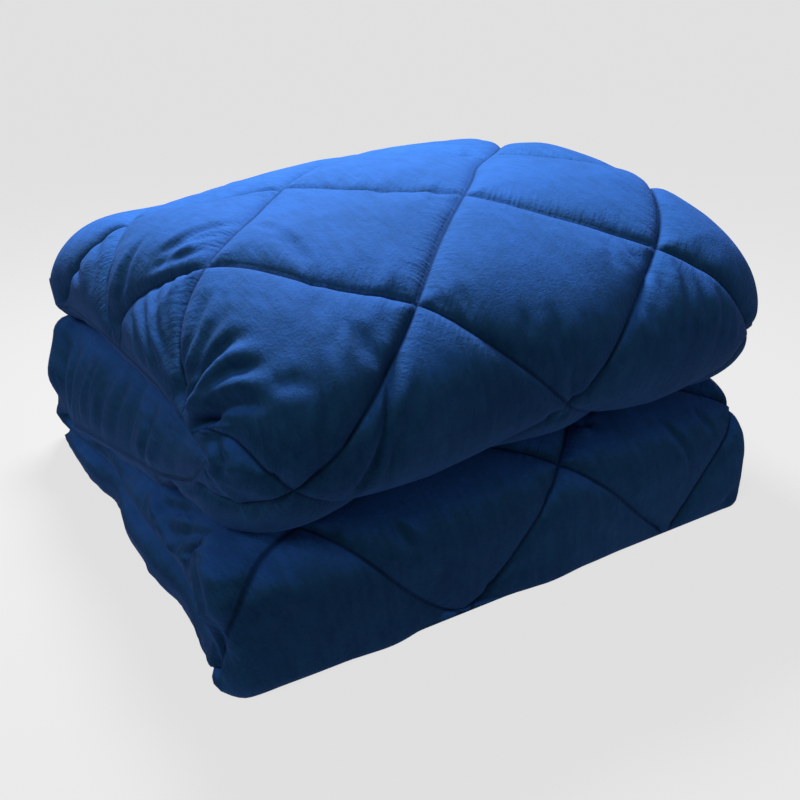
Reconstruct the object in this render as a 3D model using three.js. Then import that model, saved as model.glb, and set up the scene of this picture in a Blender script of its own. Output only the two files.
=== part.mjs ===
import * as THREE from 'three';

// A thick diamond-quilted quilt folded into a pack of four layers.
// Millimetres. +X runs along the front, +Y away from it, +Z up.
// The pack is one piece of padded cloth, so it is one closed solid: a band that runs back and forth
// four times. Its outer face and its inner face are laid out as two grids that meet along its edge.

// Size of the pack
const FRONT_LEFT = -6;
const FRONT_RIGHT = 590;
const PACK_DEPTH = 575;
const CROWN_HEIGHT = 362;
const CROWN_X = 300;
const CROWN_Y = 250;
const BACK_TOP_HEIGHT = 303;

// Heights of the slits between the layers, at the front and at the back
const UPPER_SLIT = { front: 222, back: 205 };
const MIDDLE_SLIT = { front: 140, back: 125 };
const LOWER_SLIT = { front: 66, back: 60 };
const SLIT_HALF_GAP = 1.6;

// How far the left end sags
const LEFT_FALL = 29;
const LEFT_BACK_FALL = 32;
const MIDDLE_LEFT_DROP = 6;
const MIDDLE_BACK_DROP = 62;
const LOWER_FRONT_DROP = 26;

// The two folds seen from the front: where each bulges most, and how its curves are shaped
const UPPER_FOLD = { y: -38, z: 235, topPower: 2.0, underPower: 2.0, tuck: 70, slitEnd: 55 };
const LOWER_FOLD = { y: -8, z: 62, topPower: 2.2, underPower: 3.2, foot: -1, slitEnd: 60 };
const BACK_FOLD = { tuck: 75, bulge: 60 };
const BACK_EDGE_INSET = 24;
const BOTTOM_EDGE_INSET = 18;
const SLIT_END_LENGTH = 16;

// How far the corners are drawn in, seen from above
const BACK_CORNER = 24;
const FRONT_CORNER = 5;

// Quilting: half the diagonal of a diamond, a crossing on the top, and the stitched groove
const DIAMOND_HALF = 127.5;
const CROSSING_X = 172.5;
const CROSSING_Y = 23;
const LOWER_CROSSING_Y = 13;
const LOWER_SHIFT = 28;
const LOWER_SLANT = 0.13;
const LOWER_SLANT_LENGTH = 150;
const GROOVE_DEPTH = 8;
const GROOVE_HALF_WIDTH = 15;
const PANEL_PUFF = 2.5;
const FOOT_GROOVE_DEPTH = 5;

// Mesh steps: per half diagonal, and in the rolled ends
const OUTER_STEPS = 6;
const INNER_STEPS = 4;
const END_COLUMNS = 4;

// How each part of the band closes at its left and right ends. in = pulled in from the pack's end,
// outer and inner = width of the rounding of each face, power = how square it is,
// lip = where the edge lies between the inner face (0) and the outer face (1).
const ENDS = [
  { place: 'back edge of layer 1', inL: 6, inR: 8, outerL: 80, outerR: 112, powL: 2.4, powR: 2.5, innerL: 45, innerR: 45, lip: 0.3 },
  { place: 'layer 1', inL: 3, inR: 6, outerL: 110, outerR: 112, powL: 2, powR: 2.5, innerL: 30, innerR: 30, lip: 0.18 },
  { place: 'upper front fold', inL: 0, inR: 10, outerL: 99, outerR: 112, powL: 2, powR: 2.5, innerL: 20, innerR: 20, lip: 0.12 },
  { place: 'layer 2, front', inL: -4, inR: 8, outerL: 50, outerR: 50, powL: 2, powR: 2, innerL: 60, innerR: 45, lip: 0.65 },
  { place: 'layer 2, back', inL: -20, inR: 2, outerL: 50, outerR: 50, powL: 2, powR: 2, innerL: 50, innerR: 45, lip: 0.85 },
  { place: 'back fold', inL: -14, inR: 4, outerL: 30, outerR: 30, powL: 2, powR: 2, innerL: 30, innerR: 60, lip: 0.5 },
  { place: 'layer 3, back', inL: 0, inR: 0, outerL: 50, outerR: 50, powL: 2, powR: 2, innerL: 40, innerR: 40, lip: 0.3 },
  { place: 'layer 3, front', inL: -6, inR: -8, outerL: 50, outerR: 30, powL: 2, powR: 2.6, innerL: 30, innerR: 30, lip: 0.15 },
  { place: 'lower front fold', inL: -10, inR: -4, outerL: 26, outerR: 30, powL: 2.8, powR: 2.6, innerL: 20, innerR: 20, lip: 0.5 },
  { place: 'layer 4, front', inL: -12, inR: 0, outerL: 12, outerR: 14, powL: 3, powR: 3, innerL: 40, innerR: 40, lip: 0.5 },
  { place: 'back edge of layer 4', inL: -6, inR: 4, outerL: 12, outerR: 14, powL: 3, powR: 3, innerL: 40, innerR: 40, lip: 0.5 },
];

const FOLD_Y = 150;
const BACK_Y = 400;

const clamp = (v, lo, hi) => Math.min(hi, Math.max(lo, v));
const mix = (a, b, t) => a + (b - a) * t;
const ease = (t) => t * t * (3 - 2 * t);

// Quarter of a superellipse from one point to another, leaving level or leaving upright
function quarter(from, to, power, leavesUpright, steps) {
  const points = [];
  for (let k = 0; k <= steps; k += 1) {
    const a = (k / steps) * Math.PI / 2;
    const rise = Math.sin(a) ** (2 / power);
    const rest = 1 - Math.max(0, Math.cos(a)) ** (2 / power);
    const along = leavesUpright ? rest : rise;
    const up = leavesUpright ? rise : rest;
    points.push([mix(from[0], to[0], along), mix(from[1], to[1], up)]);
  }
  return points;
}

function run(height, y0, y1, steps) {
  const points = [];
  for (let k = 0; k <= steps; k += 1) {
    const y = mix(y0, y1, k / steps);
    points.push([y, height(y)]);
  }
  return points;
}

// The closed end of a slit, where its two faces meet, pointing along dir
function slitEnd(y, z, dir) {
  return [[y, z + SLIT_HALF_GAP], [y + dir * SLIT_END_LENGTH, z], [y, z - SLIT_HALF_GAP]];
}

// Joins curves end to end and marks where named places fall
function chain(parts) {
  const points = [];
  const marks = [];
  for (const part of parts) {
    const start = points.length === 0 ? 0 : points.length - 1;
    const fresh = points.length === 0 ? part.curve : part.curve.slice(1);
    points.push(...fresh);
    if (part.markFirst) marks.push(start);
    if (part.markMiddle) marks.push(start + Math.round((part.curve.length - 1) / 2));
    if (part.markAtY !== undefined) {
      let best = start;
      for (let k = start; k < points.length; k += 1) {
        if (Math.abs(points[k][0] - part.markAtY) < Math.abs(points[best][0] - part.markAtY)) best = k;
      }
      marks.push(best);
    }
    if (part.markLast) marks.push(points.length - 1);
  }
  const lengths = [0];
  for (let k = 1; k < points.length; k += 1) {
    const dy = points[k][0] - points[k - 1][0];
    const dz = points[k][1] - points[k - 1][1];
    lengths.push(lengths[k - 1] + Math.hypot(dy, dz));
  }
  return { points, marks, lengths };
}

// Both faces of the band in the upright plane at x
function section(x) {
  const left = clamp((260 - x) / 260, 0, 1) ** 1.3;
  const frontCorner = clamp((90 - x) / 90, 0, 1);
  const deep = (y) => clamp(y / PACK_DEPTH, 0, 1);
  const upper = (y) => mix(UPPER_SLIT.front, UPPER_SLIT.back, y / PACK_DEPTH);
  const middle = (y) => mix(MIDDLE_SLIT.front, MIDDLE_SLIT.back, y / PACK_DEPTH)
    - (MIDDLE_LEFT_DROP + MIDDLE_BACK_DROP * deep(y)) * left;
  const lower = (y) => mix(LOWER_SLIT.front, LOWER_SLIT.back, y / PACK_DEPTH)
    - 0.35 * MIDDLE_BACK_DROP * left * deep(y)
    - LOWER_FRONT_DROP * frontCorner * clamp(1 - y / 200, 0, 1);
  const top = (y) => CROWN_HEIGHT
    - (CROWN_HEIGHT - BACK_TOP_HEIGHT) * clamp((y - CROWN_Y) / (PACK_DEPTH - CROWN_Y), 0, 1) ** 2;
  const gap = SLIT_HALF_GAP;

  const backY = PACK_DEPTH - BACK_EDGE_INSET;
  const topEdge = [backY, (top(backY) + upper(backY)) / 2];
  const bottomY = PACK_DEPTH - BOTTOM_EDGE_INSET;
  const bottomEdge = [bottomY, lower(bottomY) / 2];
  const tuckY = UPPER_FOLD.tuck;
  const innerBackY = PACK_DEPTH - BACK_FOLD.tuck;
  const bulgeY = PACK_DEPTH - BACK_FOLD.bulge;
  const bulgeZ = middle(PACK_DEPTH - 10);
  const upperFront = [UPPER_FOLD.y, UPPER_FOLD.z];
  const lowerFront = [LOWER_FOLD.y, LOWER_FOLD.z];

  const outer = chain([
    { curve: quarter(topEdge, [backY - 50, top(backY - 50)], 2.2, true, 14), markFirst: true },
    { curve: run(top, backY - 50, CROWN_Y, 30) },
    { curve: quarter([CROWN_Y, top(CROWN_Y)], upperFront, UPPER_FOLD.topPower, false, 60), markAtY: FOLD_Y, markLast: true },
    { curve: quarter(upperFront, [tuckY, middle(tuckY) + gap], UPPER_FOLD.underPower, true, 40) },
    { curve: run((y) => middle(y) + gap, tuckY, FOLD_Y, 8), markLast: true },
    { curve: run((y) => middle(y) + gap, FOLD_Y, BACK_Y, 12), markLast: true },
    { curve: run((y) => middle(y) + gap, BACK_Y, innerBackY, 8) },
    { curve: slitEnd(innerBackY, middle(innerBackY), 1), markMiddle: true },
    { curve: run((y) => middle(y) - gap, innerBackY, BACK_Y, 8), markLast: true },
    { curve: run((y) => middle(y) - gap, BACK_Y, FOLD_Y, 12), markLast: true },
    { curve: run((y) => middle(y) - gap, FOLD_Y, tuckY, 8) },
    { curve: quarter([tuckY, middle(tuckY) - gap], lowerFront, LOWER_FOLD.topPower, false, 30), markLast: true },
    { curve: quarter(lowerFront, [LOWER_FOLD.foot, 0], LOWER_FOLD.underPower, true, 24) },
    { curve: run(() => 0, LOWER_FOLD.foot, FOLD_Y, 8), markLast: true },
    { curve: run(() => 0, FOLD_Y, bottomY - 30, 20) },
    { curve: quarter([bottomY - 30, 0], bottomEdge, 2.2, false, 10), markLast: true },
  ]);
  const inner = chain([
    { curve: quarter(topEdge, [backY - 40, upper(backY - 40) + gap], 2.2, true, 14), markFirst: true },
    { curve: run((y) => upper(y) + gap, backY - 40, FOLD_Y, 20), markLast: true },
    { curve: run((y) => upper(y) + gap, FOLD_Y, UPPER_FOLD.slitEnd, 8) },
    { curve: slitEnd(UPPER_FOLD.slitEnd, upper(UPPER_FOLD.slitEnd), -1), markMiddle: true },
    { curve: run((y) => upper(y) - gap, UPPER_FOLD.slitEnd, FOLD_Y, 8), markLast: true },
    { curve: run((y) => upper(y) - gap, FOLD_Y, BACK_Y, 12), markLast: true },
    { curve: run((y) => upper(y) - gap, BACK_Y, bulgeY, 8) },
    { curve: quarter([bulgeY, upper(bulgeY) - gap], [PACK_DEPTH, bulgeZ], 2.2, false, 24), markLast: true },
    { curve: quarter([PACK_DEPTH, bulgeZ], [bulgeY, lower(bulgeY) + gap], 2.2, true, 24) },
    { curve: run((y) => lower(y) + gap, bulgeY, BACK_Y, 8), markLast: true },
    { curve: run((y) => lower(y) + gap, BACK_Y, FOLD_Y, 12), markLast: true },
    { curve: run((y) => lower(y) + gap, FOLD_Y, LOWER_FOLD.slitEnd, 8) },
    { curve: slitEnd(LOWER_FOLD.slitEnd, lower(LOWER_FOLD.slitEnd), -1), markMiddle: true },
    { curve: run((y) => lower(y) - gap, LOWER_FOLD.slitEnd, FOLD_Y, 8), markLast: true },
    { curve: run((y) => lower(y) - gap, FOLD_Y, bottomY - 30, 20) },
    { curve: quarter([bottomY - 30, lower(bottomY - 30) - gap], bottomEdge, 2.2, false, 10), markLast: true },
  ]);
  return { outer, inner };
}

// The point a share of the way from one mark to the next, measured along the curve
function pointAt(curve, place) {
  const last = curve.marks.length - 1;
  const from = Math.min(Math.floor(place), last - 1);
  const start = curve.lengths[curve.marks[from]];
  const stop = curve.lengths[curve.marks[from + 1]];
  const want = mix(start, stop, place - from);
  let k = curve.marks[from];
  while (k < curve.lengths.length - 2 && curve.lengths[k + 1] < want) k += 1;
  const span = curve.lengths[k + 1] - curve.lengths[k] || 1;
  const t = clamp((want - curve.lengths[k]) / span, 0, 1);
  const a = curve.points[k];
  const b = curve.points[k + 1];
  return [mix(a[0], b[0], t), mix(a[1], b[1], t)];
}

function placeOf(curve, length) {
  const last = curve.marks.length - 1;
  for (let k = 0; k < last; k += 1) {
    const start = curve.lengths[curve.marks[k]];
    const stop = curve.lengths[curve.marks[k + 1]];
    if (length <= stop || k === last - 1) return k + clamp((length - start) / (stop - start), 0, 1);
  }
  return last;
}

const STATION_COUNT = 13;
const STATIONS = [];
for (let k = 0; k < STATION_COUNT; k += 1) {
  STATIONS.push(section(mix(FRONT_LEFT, FRONT_RIGHT, k / (STATION_COUNT - 1))));
}
const MIDDLE = section(CROWN_X);

function endRow(place) {
  const k = Math.min(Math.floor(place), ENDS.length - 2);
  const row = {};
  for (const name of Object.keys(ENDS[0])) {
    if (name !== 'place') row[name] = mix(ENDS[k][name], ENDS[k + 1][name], place - k);
  }
  return row;
}

// Outer points, inner points and the edge between them along one line across the band
function acrossBand(place, samples) {
  const row = endRow(place);
  const x0 = FRONT_LEFT + row.inL;
  const x1 = FRONT_RIGHT - row.inR;
  const stations = STATIONS.map((s) => [pointAt(s.outer, place), pointAt(s.inner, place)]);
  const outer = [];
  const inner = [];
  for (let k = 0; k <= samples; k += 1) {
    const t = k / samples;
    const x = mix(x0, x1, (0.5 - 0.5 * Math.cos(Math.PI * t)) * 0.7 + t * 0.3);
    const s = clamp((x - FRONT_LEFT) / (FRONT_RIGHT - FRONT_LEFT), 0, 1) * (STATION_COUNT - 1);
    const i = Math.min(Math.floor(s), STATION_COUNT - 2);
    const pick = (face, axis) => mix(stations[i][face][axis], stations[i + 1][face][axis], s - i);
    const o = [pick(0, 0), pick(0, 1)];
    const n = [pick(1, 0), pick(1, 1)];
    const edge = [mix(n[0], o[0], row.lip), mix(n[1], o[1], row.lip)];
    const roll = (wide, power, away) => Math.max(0, 1 - Math.abs(clamp(1 - away / wide, 0, 1)) ** power) ** (1 / power);
    const outerRoll = roll(row.outerL, row.powL, x - x0) * roll(row.outerR, row.powR, x1 - x);
    const innerRoll = roll(row.innerL, 2, x - x0) * roll(row.innerR, 2, x1 - x);
    outer.push(sag([x, mix(edge[0], o[0], outerRoll), mix(edge[1], o[1], outerRoll)]));
    inner.push(sag([x, mix(edge[0], n[0], innerRoll), mix(edge[1], n[1], innerRoll)]));
  }
  return { outer, inner };
}

// The whole pack is lower toward its left end and most of all at the back left, and its corners turn
function sag([x, y, z]) {
  const left = clamp((CROWN_X - x) / (CROWN_X - FRONT_LEFT), 0, 1) ** 1.3;
  const back = clamp((y - 150) / 400, 0, 1) * ease(clamp((CROWN_X - x) / 200, 0, 1));
  const toEnd = Math.min(x - FRONT_LEFT, FRONT_RIGHT - x);
  const backTurn = BACK_CORNER * (1 - Math.sqrt(1 - clamp(1 - toEnd / 70, 0, 1) ** 2)) * ease(clamp((y - 330) / 200, 0, 1));
  const frontTurn = FRONT_CORNER * (1 - Math.sqrt(1 - clamp(1 - toEnd / 30, 0, 1) ** 2)) * ease(clamp((60 - y) / 60, 0, 1));
  const low = 1 - (LEFT_FALL * left + LEFT_BACK_FALL * back) / CROWN_HEIGHT;
  return [x, y - backTurn + frontTurn, z * low];
}

// Columns a fixed length of cloth apart in the middle, and evenly shared out in the rolled ends
function spreadColumns(points, step, slide) {
  const along = [0];
  for (let k = 1; k < points.length; k += 1) {
    const [a, b] = [points[k - 1], points[k]];
    along.push(along[k - 1] + Math.hypot(b[0] - a[0], b[1] - a[1], b[2] - a[2]));
  }
  const total = along[along.length - 1];
  let crown = 0;
  for (let k = 1; k < points.length; k += 1) {
    if (points[k - 1][0] <= CROWN_X && points[k][0] > CROWN_X) {
      crown = mix(along[k - 1], along[k], (CROWN_X - points[k - 1][0]) / (points[k][0] - points[k - 1][0]));
    }
  }
  const half = Math.floor(300 / step);
  const squeeze = Math.min(1, crown / 325, (total - crown) / 325);
  const wanted = [];
  const first = crown - half * step * squeeze + slide;
  const last = crown + half * step * squeeze + slide;
  for (let k = 0; k < END_COLUMNS; k += 1) wanted.push(mix(0, first, k / END_COLUMNS));
  for (let k = -half; k <= half; k += 1) wanted.push(crown + k * step * squeeze + slide);
  for (let k = 1; k <= END_COLUMNS; k += 1) wanted.push(mix(last, total, k / END_COLUMNS));
  let k = 1;
  return wanted.map((want) => {
    while (k < points.length - 1 && along[k] < want) k += 1;
    const t = clamp((want - along[k - 1]) / (along[k] - along[k - 1] || 1), 0, 1);
    const at = points[k - 1].map((v, i) => mix(v, points[k][i], t));
    return { at, cloth: want - crown + CROWN_X };
  });
}

// Distance from a point of the cloth to the nearest line of stitching
function stitchDistance(cloth, run2) {
  let nearest = Infinity;
  for (const lean of [1, -1]) {
    const v = (cloth - CROSSING_X + lean * run2) / (2 * DIAMOND_HALF);
    nearest = Math.min(nearest, Math.abs(v - Math.round(v)) * 2 * DIAMOND_HALF * Math.SQRT1_2);
  }
  return nearest;
}

function quiltOffset(distance) {
  const groove = GROOVE_DEPTH * Math.max(0, 1 - distance / GROOVE_HALF_WIDTH);
  const puff = PANEL_PUFF * Math.sin(clamp(distance / (DIAMOND_HALF * Math.SQRT1_2), 0, 1) * Math.PI / 2);
  return puff - groove;
}

// Length along the outer face at which the middle section crosses a given y, between two marks
function lengthAtY(curve, y, fromMark, toMark) {
  for (let k = curve.marks[fromMark]; k < curve.marks[toMark]; k += 1) {
    const [a, b] = [curve.points[k][0], curve.points[k + 1][0]];
    if ((a - y) * (b - y) <= 0 && a !== b) return mix(curve.lengths[k], curve.lengths[k + 1], (y - a) / (b - a));
  }
  throw new Error('the section does not reach that y');
}

// Rows: fine where the cloth shows, and on whole steps of the quilting; coarse inside the folds.
// The closed end of each slit has a row of its own.
function clothRows(curve, origin, step, zones, tips) {
  const total = curve.lengths[curve.lengths.length - 1];
  const fixed = [0, ...tips.map((mark) => curve.lengths[curve.marks[mark]]), total];
  const rows = [...fixed];
  for (const zone of zones) {
    const start = curve.lengths[curve.marks[zone.from]];
    const stop = curve.lengths[curve.marks[zone.to]];
    const stride = step * zone.every;
    const base = zone.origin ?? origin;
    let at = base + Math.ceil((start - base) / stride) * stride;
    for (; at < stop; at += stride) {
      if (rows.every((other) => Math.abs(other - at) > step * 0.4)) rows.push(at);
    }
  }
  return rows.sort((a, b) => a - b);
}

const upperOrigin = lengthAtY(MIDDLE.outer, CROSSING_Y, 1, 2);
const lowerOrigin = lengthAtY(MIDDLE.outer, LOWER_CROSSING_Y, 7, 8);
const outerStep = DIAMOND_HALF / OUTER_STEPS;
const innerStep = DIAMOND_HALF / INNER_STEPS;
const backBulge = MIDDLE.inner.lengths[MIDDLE.inner.marks[5]];

const OUTER_ZONES = [
  { from: 0, to: 3, every: 1 },
  { from: 3, to: 5, every: 2 },
  { from: 5, to: 7, every: 2, origin: lowerOrigin },
  { from: 7, to: 9, every: 1, origin: lowerOrigin },
  { from: 9, to: 10, every: 1, origin: lowerOrigin },
];
const INNER_ZONES = [
  { from: 0, to: 4, every: 2 },
  { from: 4, to: 6, every: 1 },
  { from: 6, to: 10, every: 2 },
];

// Where a length along the outer face lies in the diamonds, and how far they slant there
function quiltPlace(length) {
  const lower = length > MIDDLE.outer.lengths[MIDDLE.outer.marks[5]];
  if (!lower) return { run2: length - upperOrigin, slide: 0 };
  const below = length - lowerOrigin;
  return { run2: below + DIAMOND_HALF, slide: LOWER_SHIFT + LOWER_SLANT * clamp(below, 0, LOWER_SLANT_LENGTH) };
}

function buildGrid(face, rows, step) {
  const curve = MIDDLE[face];
  return rows.map((length, i) => {
    const place = i === rows.length - 1 ? curve.marks.length - 1 : placeOf(curve, length);
    const line = acrossBand(place, 96)[face];
    const quilt = face === 'outer' ? quiltPlace(length) : { run2: length - backBulge, slide: 0 };
    return spreadColumns(line, step, quilt.slide).map((p) => ({
      at: new THREE.Vector3(...p.at),
      distance: stitchDistance(p.cloth - quilt.slide, quilt.run2),
    }));
  });
}

// Moves the points of a grid in and out along the face's own direction, and leaves its border alone
function raiseQuilting(grid, outward) {
  const moved = grid.map((row) => row.map((p) => p.at.clone()));
  for (let i = 1; i < grid.length - 1; i += 1) {
    for (let j = 1; j < grid[i].length - 1; j += 1) {
      const down = grid[i + 1][j].at.clone().sub(grid[i - 1][j].at);
      const across = grid[i][j + 1].at.clone().sub(grid[i][j - 1].at);
      const normal = across.cross(down).multiplyScalar(outward).normalize();
      const p = grid[i][j];
      if (p.at.z < 1e-6) {
        moved[i][j].z += FOOT_GROOVE_DEPTH * Math.max(0, 1 - p.distance / GROOVE_HALF_WIDTH);
      } else {
        const border = Math.min(1, Math.min(j, grid[i].length - 1 - j) / 2);
        const offset = quiltOffset(p.distance);
        const room = offset > 0 && (Math.abs(normal.z) > 0.9 && p.at.y > 55 && p.at.z < 250) ? 0 : 1;
        moved[i][j].addScaledVector(normal, offset * border * room);
        moved[i][j].z = Math.max(0, moved[i][j].z);
      }
    }
  }
  return moved;
}

// Whether a cell is cut from its first corner, so that the cut follows the stitching across it
function leansForward(column, step, run2) {
  const x = (column + 0.5 - END_COLUMNS - Math.floor(300 / step)) * step + CROWN_X;
  const off = (lean) => {
    const v = (x - CROSSING_X + lean * run2) / (2 * DIAMOND_HALF);
    return Math.abs(v - Math.round(v));
  };
  return off(-1) < off(1);
}

function buildQuilt() {
  const outerRows = clothRows(MIDDLE.outer, upperOrigin, outerStep, OUTER_ZONES, [5]);
  const innerRows = clothRows(MIDDLE.inner, backBulge, innerStep, INNER_ZONES, [2, 8]);
  const outer = raiseQuilting(buildGrid('outer', outerRows, outerStep), -1);
  const inner = raiseQuilting(buildGrid('inner', innerRows, innerStep), 1);

  const positions = [];
  const add = (p) => {
    positions.push(p.x, p.y, p.z);
    return positions.length / 3 - 1;
  };
  const faces = [];
  const outerIds = outer.map((row) => row.map(add));
  const rowsO = outerIds.length;
  const colsO = outerIds[0].length;
  for (let i = 0; i < rowsO - 1; i += 1) {
    const run2 = quiltPlace((outerRows[i] + outerRows[i + 1]) / 2).run2;
    for (let j = 0; j < colsO - 1; j += 1) {
      const [a, b, c, d] = [outerIds[i][j], outerIds[i + 1][j], outerIds[i + 1][j + 1], outerIds[i][j + 1]];
      if (leansForward(j, outerStep, run2)) faces.push([a, b, c], [a, c, d]);
      else faces.push([a, b, d], [b, c, d]);
    }
  }

  // The inner grid without its border, since the border is the outer grid's own edge
  const innerIds = inner.slice(1, -1).map((row) => row.slice(1, -1).map(add));
  const rowsI = innerIds.length;
  const colsI = innerIds[0].length;
  for (let i = 0; i < rowsI - 1; i += 1) {
    const run2 = (innerRows[i + 1] + innerRows[i + 2]) / 2 - backBulge;
    for (let j = 0; j < colsI - 1; j += 1) {
      const [a, b, c, d] = [innerIds[i][j], innerIds[i + 1][j], innerIds[i + 1][j + 1], innerIds[i][j + 1]];
      if (leansForward(j + 1, innerStep, run2)) faces.push([a, c, b], [a, d, c]);
      else faces.push([a, d, b], [b, d, c]);
    }
  }
  const placesO = outerRows.map((length, i) => (i === rowsO - 1 ? 10 : placeOf(MIDDLE.outer, length)));
  const placesI = innerRows.map((length) => placeOf(MIDDLE.inner, length)).slice(1, -1);
  const even = (count) => Array.from({ length: count }, (_, k) => k / (count - 1));
  const column = (grid, j) => grid.map((row) => row[j]);
  faces.push(...bridge(column(outerIds, 0), placesO, column(innerIds, 0), placesI, true));
  faces.push(...bridge(column(outerIds, colsO - 1), placesO, column(innerIds, colsI - 1), placesI, false));
  faces.push(...bridge(outerIds[0], even(colsO), innerIds[0], even(colsI), false));
  faces.push(...bridge(outerIds[rowsO - 1], even(colsO), innerIds[rowsI - 1], even(colsI), true));
  return { positions, faces };
}

// Strip of triangles between two rows of points that are spaced differently
function bridge(idsA, placesA, idsB, placesB, flip) {
  const out = [];
  let i = 0;
  let j = 0;
  const put = (a, b, c) => out.push(flip ? [a, c, b] : [a, b, c]);
  while (i < idsA.length - 1 || j < idsB.length - 1) {
    const nextA = i < idsA.length - 1 ? (placesA[i] + placesA[i + 1]) / 2 : Infinity;
    const nextB = j < idsB.length - 1 ? (placesB[j] + placesB[j + 1]) / 2 : Infinity;
    if (nextA <= nextB) {
      put(idsA[i], idsA[i + 1], idsB[j]);
      i += 1;
    } else {
      put(idsA[i], idsB[j + 1], idsB[j]);
      j += 1;
    }
  }
  return out;
}

function centred({ positions, faces }) {
  const geometry = new THREE.BufferGeometry();
  geometry.setAttribute('position', new THREE.Float32BufferAttribute(positions, 3));
  geometry.setIndex(faces.flat());
  geometry.computeBoundingBox();
  const box = geometry.boundingBox;
  geometry.translate(-(box.min.x + box.max.x) / 2, -(box.min.y + box.max.y) / 2, -box.min.z);
  geometry.computeVertexNormals();
  return geometry;
}

// The quilt: face, filling and back are quilted together and turned in at the edge
const quilt = new THREE.Mesh(
  centred(buildQuilt()),
  new THREE.MeshStandardMaterial({ color: 0x2c55a8, roughness: 0.95 }),
);
quilt.name = 'quilt';

const group = new THREE.Group();
group.name = 'folded_quilt';
group.add(quilt);

export default group;
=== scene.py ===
import bpy
import numpy as np
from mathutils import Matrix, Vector


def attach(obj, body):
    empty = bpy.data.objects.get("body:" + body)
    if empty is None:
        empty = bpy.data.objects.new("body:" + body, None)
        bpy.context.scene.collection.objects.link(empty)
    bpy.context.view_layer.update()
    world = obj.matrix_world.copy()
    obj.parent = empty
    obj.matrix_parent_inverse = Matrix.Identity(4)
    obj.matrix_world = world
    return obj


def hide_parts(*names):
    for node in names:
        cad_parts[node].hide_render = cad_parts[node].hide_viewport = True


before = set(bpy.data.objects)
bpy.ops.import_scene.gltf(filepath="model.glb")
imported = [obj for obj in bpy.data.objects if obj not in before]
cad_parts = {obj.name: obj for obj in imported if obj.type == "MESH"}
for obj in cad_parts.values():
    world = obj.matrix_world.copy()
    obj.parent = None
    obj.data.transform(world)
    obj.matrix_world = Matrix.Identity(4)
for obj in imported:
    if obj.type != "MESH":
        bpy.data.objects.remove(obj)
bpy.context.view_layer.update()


# The quilt: one thick padded blanket of plush cloth, stitched through in large diamonds, turned in
# at its edge and folded to and fro into a pack of four layers. Its outer face and its inner face are
# laid out as two grids along the folded band and meet along the turned edge. Lengths in mm.
FRONT_LEFT, FRONT_RIGHT = -6.0, 590.0
PACK_DEPTH = 575.0
CROWN_HEIGHT, CROWN_X, CROWN_Y = 362.0, 300.0, 250.0
BACK_TOP_HEIGHT = 303.0
# The middle of the pack's footprint, which is the frame's origin
PACK_CENTRE = (286.642, 268.580)

# Heights of the slits between the layers, at the front and at the back
UPPER_SLIT = (222.0, 205.0)
MIDDLE_SLIT = (140.0, 125.0)
LOWER_SLIT = (66.0, 60.0)
SLIT_HALF_GAP = 1.6
SLIT_END_LENGTH = 16.0

# How far the slits sag toward the left end, at the front and more at the back, and how far the
# lower one sinks at the front left corner
SAG_WIDTH, SAG_POWER = 260.0, 1.3
SLIT_SAG_FRONT, SLIT_SAG_BACK, LOWER_SAG_SHARE = 6.0, 62.0, 0.35
CORNER_SAG, CORNER_SAG_WIDTH, CORNER_SAG_LENGTH = 26.0, 90.0, 200.0

# How far the whole pack sinks at its left end and at the back left, and how its upright corners turn in
LEFT_SAG, BACK_LEFT_SAG = 29.0, 32.0
BACK_LEFT = {"from_y": 150.0, "over_y": 400.0, "over_x": 200.0}
BACK_CORNER = {"turn": 24.0, "width": 70.0, "from_y": 330.0, "over_y": 200.0}
FRONT_CORNER = {"turn": 5.0, "width": 30.0, "over_y": 60.0}

# The folds seen from the front and the one at the back
UPPER_FOLD = {"y": -38.0, "z": 235.0, "top_power": 2.0, "under_power": 2.0, "tuck": 70.0, "slit_end": 55.0}
LOWER_FOLD = {"y": -8.0, "z": 62.0, "top_power": 2.2, "under_power": 3.2, "foot": -1.0, "slit_end": 60.0}
BACK_FOLD = {"tuck": 75.0, "bulge": 60.0, "height_taken": 10.0}

# The cut edges at the back, turned in: how far in from the pack's back, and the length of their rounding
TOP_EDGE_INSET, BOTTOM_EDGE_INSET = 24.0, 18.0
TOP_ROUNDING, INNER_ROUNDING, BOTTOM_ROUNDING, EDGE_POWER = 50.0, 40.0, 30.0, 2.2

# How each part of the band closes at its ends. in = pulled in from the end, outer and inner = width
# of the rounding of each face, power = how square it is, lip = 0 edge at the inner face, 1 at the outer
END_COLUMNS = ("in_l", "in_r", "outer_l", "outer_r", "power_l", "power_r", "inner_l", "inner_r", "lip")
ENDS = {
    "back edge of layer 1": (6, 8, 80, 112, 2.4, 2.5, 45, 45, 0.30),
    "layer 1": (3, 6, 110, 112, 2.0, 2.5, 30, 30, 0.18),
    "upper front fold": (0, 10, 99, 112, 2.0, 2.5, 20, 20, 0.12),
    "layer 2, front": (-4, 8, 50, 50, 2.0, 2.0, 60, 45, 0.65),
    "layer 2, back": (-20, 2, 50, 50, 2.0, 2.0, 50, 45, 0.85),
    "back fold": (-14, 4, 30, 30, 2.0, 2.0, 30, 60, 0.50),
    "layer 3, back": (0, 0, 50, 50, 2.0, 2.0, 40, 40, 0.30),
    "layer 3, front": (-6, -8, 50, 30, 2.0, 2.6, 30, 30, 0.15),
    "lower front fold": (-10, -4, 26, 30, 2.8, 2.6, 20, 20, 0.50),
    "layer 4, front": (-12, 0, 12, 14, 3.0, 3.0, 40, 40, 0.50),
    "back edge of layer 4": (-6, 4, 12, 14, 3.0, 3.0, 40, 40, 0.50),
}

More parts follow.
